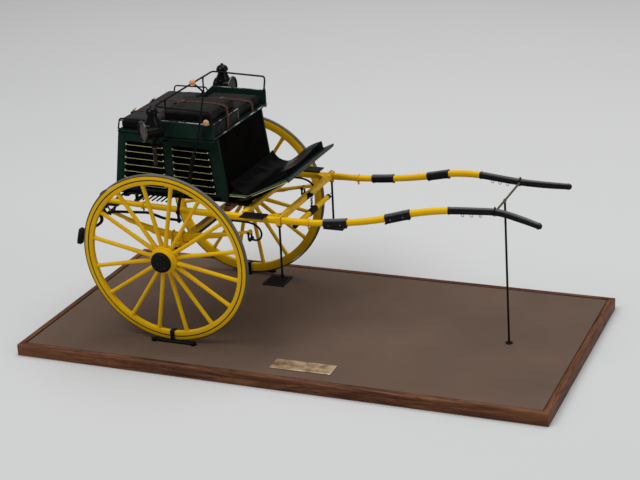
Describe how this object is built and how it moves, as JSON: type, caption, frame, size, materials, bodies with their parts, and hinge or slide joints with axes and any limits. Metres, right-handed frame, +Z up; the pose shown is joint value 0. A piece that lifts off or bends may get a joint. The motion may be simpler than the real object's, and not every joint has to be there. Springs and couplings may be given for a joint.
{
  "type": "model tandem cart",
  "caption": "Two-wheeled driving cart model with shafts, louvred body, sprung axle, lamps and hand brake, strapped by its wheels to a flat display plinth and propped under its shafts.",
  "frame": {"origin": "middle of the plinth's underside", "axes": "+X forwards along the shafts, +Y to the cart's left, +Z up"},
  "size_m": [0.546, 0.275, 0.2781],
  "materials": {
    "plinth_top": "matt grey-brown covering with a fine grain",
    "plinth_wood": "dark oiled hardwood moulding",
    "brass": "brushed brass plate, engraving left bare",
    "yellow_paint": "glossy coach yellow with fine black lining",
    "tyre_rubber": "grey rubber",
    "black_iron": "black japanned ironwork",
    "black_leather": "black leather",
    "brown_wood": "red-brown varnished wood",
    "green_paint": "dark coach green over wood, cream lining",
    "brown_leather": "tan leather strap",
    "lamp_japan": "glossy black lamp",
    "lens_glass": "clear glass front in a plated bezel, opaque here"
  },
  "bodies": {
    "cart": {"apron": "black_leather", "axle": "black_iron", "axle_bed": "yellow_paint", "body_frame": "brown_wood", "body_side_far": "green_paint", "body_side_near": "green_paint", "cushion_driver": "black_leather", "cushion_passenger": "black_leather", "cushion_rear": "black_leather", "display_stand": "black_iron", "driver_box": "black_leather", "knee_panel": "black_leather", "lamp_bracket_far": "black_iron", "lamp_bracket_near": "black_iron", "name_plaque": "brass", "plinth_board": "plinth_top", "plinth_molding": "plinth_wood", "rail_front": "black_iron", "rail_rear_far": "black_iron", "rail_rear_near": "black_iron", "seat_deck": "green_paint", "shaft_far": "yellow_paint", "shaft_near": "yellow_paint", "sleeve_mid_far": "black_leather", "sleeve_mid_near": "black_leather", "sleeve_rear_far": "black_leather", "sleeve_rear_near": "black_leather", "sleeve_tip_far": "black_leather", "sleeve_tip_near": "black_leather", "splinter_bar": "yellow_paint", "spring_far": "yellow_paint", "spring_hanger_far": "black_iron", "spring_hanger_near": "black_iron", "spring_near": "yellow_paint", "step_far": "black_iron", "step_near": "black_iron", "strap_far": "brown_leather", "strap_near": "brown_leather", "toe_board": "green_paint", "tread_iron_far": "black_iron", "tread_iron_near": "black_iron", "wheel_clip_far": "black_iron", "wheel_clip_near": "black_iron"},
    "wheel_near": {"wheel_near": "yellow_paint", "tyre_near": "tyre_rubber", "hub_cap_near": "black_iron"},
    "wheel_far": {"wheel_far": "yellow_paint", "tyre_far": "tyre_rubber", "hub_cap_far": "black_iron"},
    "lamp_near": {"lamp_near": "lamp_japan", "lamp_lens_near": "lens_glass"},
    "lamp_far": {"lamp_far": "lamp_japan", "lamp_lens_far": "lens_glass"},
    "tailboard": {"tailboard": "green_paint"},
    "swingletree_link": {"swingletree_link": "black_iron"},
    "swingletree_bar": {"swingletree_bar": "yellow_paint"},
    "brake_lever": {"brake_lever": "black_iron"},
    "brake_pull_rod": {"brake_pull_rod": "black_iron"},
    "brake_beam": {"brake_beam": "black_iron"},
    "side_crank": {"side_crank": "black_iron"}
  },
  "joints": [
    {"name": "wheel_near_turn", "type": "hinge", "parent": "cart", "child": "wheel_near", "pos_m": [-0.1231, -0.0887, 0.1012], "axis": [0, -0.9983, -0.0584], "range_deg": [-7, 7]},
    {"name": "wheel_far_turn", "type": "hinge", "parent": "cart", "child": "wheel_far", "pos_m": [-0.1231, 0.1099, 0.1012], "axis": [0, 0.9983, -0.0584], "range_deg": [-7, 7]},
    {"name": "lamp_near_turn", "type": "hinge", "parent": "cart", "child": "lamp_near", "pos_m": [-0.1345, -0.0697, 0.2265], "axis": [0, 0, 1], "range_deg": [-50, 130]},
    {"name": "lamp_far_turn", "type": "hinge", "parent": "cart", "child": "lamp_far", "pos_m": [-0.1345, 0.0909, 0.2265], "axis": [0, 0, 1], "range_deg": [0, 180]},
    {"name": "tailboard_drop", "type": "hinge", "parent": "cart", "child": "tailboard", "pos_m": [-0.19564, 0.0106, 0.1525], "axis": [0, -1, 0], "range_deg": [0, 80]},
    {"name": "swingletree_swing", "type": "hinge", "parent": "cart", "child": "swingletree_link", "pos_m": [-0.0067, 0.0106, 0.1434], "axis": [0, 1, 0], "range_deg": [-15, 15]},
    {"name": "swingletree_yaw", "type": "hinge", "parent": "swingletree_link", "child": "swingletree_bar", "pos_m": [-0.0067, 0.0106, 0.1267], "axis": [0, 0, 1], "range_deg": [-20, 20]},
    {"name": "brake_lever_pull", "type": "hinge", "parent": "cart", "child": "brake_lever", "pos_m": [-0.1172, -0.0657, 0.142], "axis": [0, -1, 0], "range_deg": [0, 3.6]},
    {"name": "pull_rod_pin", "type": "hinge", "parent": "brake_lever", "child": "brake_pull_rod", "pos_m": [-0.1164, -0.064, 0.1332], "axis": [0, -1, 0], "range_deg": [-3.7, 0]},
    {"name": "brake_beam_turn", "type": "hinge", "parent": "cart", "child": "brake_beam", "pos_m": [-0.2003, 0.0106, 0.1396], "axis": [0, -1, 0], "range_deg": [0, 4.6]},
    {"name": "side_crank_turn", "type": "hinge", "parent": "cart", "child": "side_crank", "pos_m": [-0.0888, -0.054, 0.2192], "axis": [0, 1, 0], "continuous": true}
  ],
  "couplings": [
    {"joint": "pull_rod_pin", "follows": "brake_lever_pull", "ratio": -1},
    {"joint": "brake_beam_turn", "follows": "brake_lever_pull", "ratio": 1.2603}
  ]
}
